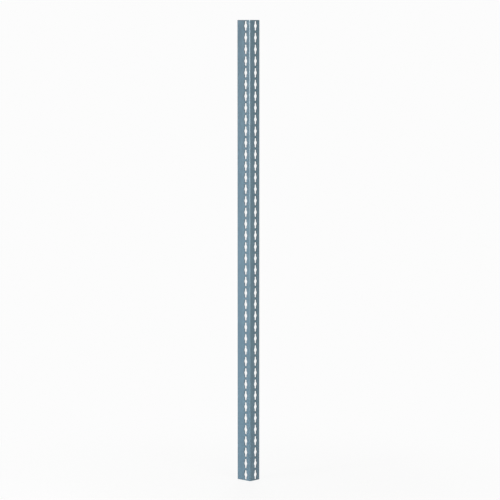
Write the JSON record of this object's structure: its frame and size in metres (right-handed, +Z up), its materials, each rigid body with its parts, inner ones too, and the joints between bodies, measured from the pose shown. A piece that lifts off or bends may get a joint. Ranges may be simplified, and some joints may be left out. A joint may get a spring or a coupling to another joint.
{
  "type": "angle post",
  "caption": "Slotted steel angle post: an unequal rolled L section with a row of double-ended keyhole slots along each flange, used as the upright of rivet shelving.",
  "frame": {"origin": "floor level at the middle of the post's outer box, with the post standing on its sheared foot", "axes": "+Z up the post; the wide flange's outer face looks along -Y and the narrow flange's outer face along +X, so the outer corner between them stands at +X, -Y"},
  "size_m": [0.0572, 0.0444, 1.524],
  "materials": {
    "enamel": "satin blue-grey baked enamel over rolled steel"
  },
  "bodies": {
    "root": {"angle_post": "enamel"}
  },
  "joints": []
}
